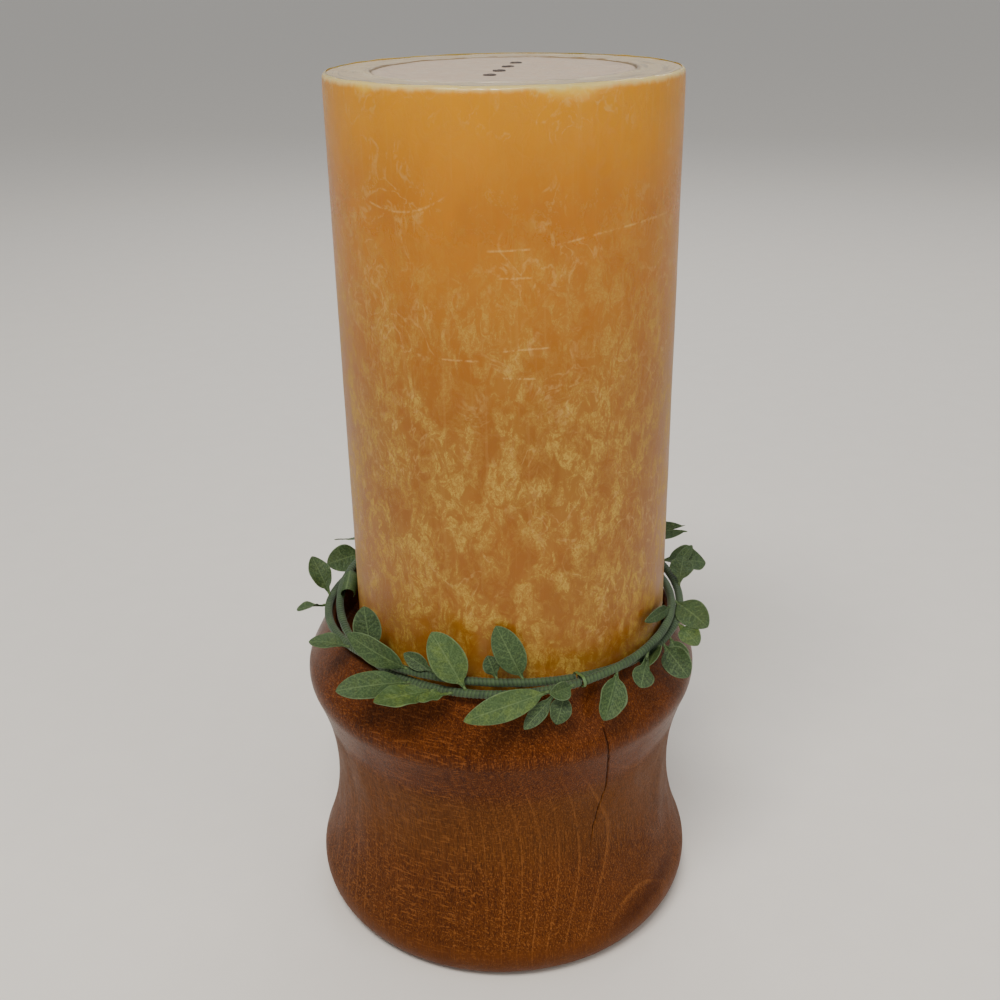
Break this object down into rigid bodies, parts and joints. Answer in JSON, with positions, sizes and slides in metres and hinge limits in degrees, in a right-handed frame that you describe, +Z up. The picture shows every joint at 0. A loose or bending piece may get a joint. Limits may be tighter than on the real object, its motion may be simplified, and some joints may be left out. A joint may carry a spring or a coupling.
{
  "type": "pillar candle on a turned wooden holder",
  "caption": "Thick dipped pillar candle standing in a waisted turned-wood holder, with a twisted wire ring of green fabric leaves lying round its foot.",
  "frame": {"origin": "centre of the holder's flat underside, on the surface that it stands on", "axes": "+Z up along the holder's turning axis; -Y is the front, the side that the twisted strands' tie faces"},
  "size_m": [0.1747, 0.1822, 0.3453],
  "materials": {
    "turned_wood": "satin varnish over open-pored reddish-brown hardwood",
    "felt": "pressed wool felt",
    "dipped_wax": "satin amber wax with pale bloom and scratches",
    "shell_wax": "greenish-beige wax",
    "core_wax": "pinkish-beige wax",
    "wick_cotton": "waxed cotton braid, dark at its trimmed end",
    "wick_tab": "tin plate",
    "stem_tape": "wound stem tape",
    "stem_wire": "drawn wire",
    "tie": "coated tie wire",
    "leaf_cloth": "stiffened woven cloth, pressed with veins"
  },
  "bodies": {
    "holder": {"holder_body": "turned_wood", "felt_pad": "felt"},
    "candle": {"candle_skin": "dipped_wax", "candle_shell": "shell_wax", "candle_core": "core_wax", "wick_1": "wick_cotton", "wick_2": "wick_cotton", "wick_3": "wick_cotton", "wick_4": "wick_cotton", "wick_tab_1": "wick_tab", "wick_tab_2": "wick_tab", "wick_tab_3": "wick_tab", "wick_tab_4": "wick_tab"},
    "leaf_ring": {"strand_wrap_a": "stem_tape", "strand_wrap_b": "stem_tape", "strand_wire_a": "stem_wire", "strand_wire_b": "stem_wire", "ring_tie": "tie", "curled_leaf": "leaf_cloth", "leaf_01": "leaf_cloth", "leaf_02": "leaf_cloth", "leaf_03": "leaf_cloth", "leaf_04": "leaf_cloth", "leaf_05": "leaf_cloth", "leaf_06": "leaf_cloth", "leaf_07": "leaf_cloth", "leaf_08": "leaf_cloth", "leaf_09": "leaf_cloth", "leaf_10": "leaf_cloth", "leaf_11": "leaf_cloth", "leaf_12": "leaf_cloth", "leaf_13": "leaf_cloth", "leaf_14": "leaf_cloth", "leaf_15": "leaf_cloth", "leaf_16": "leaf_cloth", "leaf_17": "leaf_cloth", "leaf_18": "leaf_cloth", "leaf_19": "leaf_cloth", "leaf_20": "leaf_cloth", "leaf_21": "leaf_cloth", "leaf_22": "leaf_cloth", "leaf_23": "leaf_cloth", "leaf_24": "leaf_cloth", "leaf_25": "leaf_cloth", "leaf_26": "leaf_cloth", "leaf_27": "leaf_cloth", "leaf_28": "leaf_cloth", "leaf_29": "leaf_cloth", "leaf_30": "leaf_cloth", "leaf_31": "leaf_cloth", "leaf_32": "leaf_cloth", "leaf_33": "leaf_cloth", "leaf_34": "leaf_cloth", "leaf_35": "leaf_cloth", "leaf_36": "leaf_cloth", "leaf_37": "leaf_cloth", "leaf_38": "leaf_cloth"}
  },
  "joints": [
    {"name": "candle_lift", "type": "slide", "parent": "holder", "child": "candle", "axis": [0, 0, 1], "range_m": [0, 0.08]},
    {"name": "ring_lift", "type": "slide", "parent": "holder", "child": "leaf_ring", "axis": [0, 0, 1], "range_m": [0, 0.24]}
  ]
}
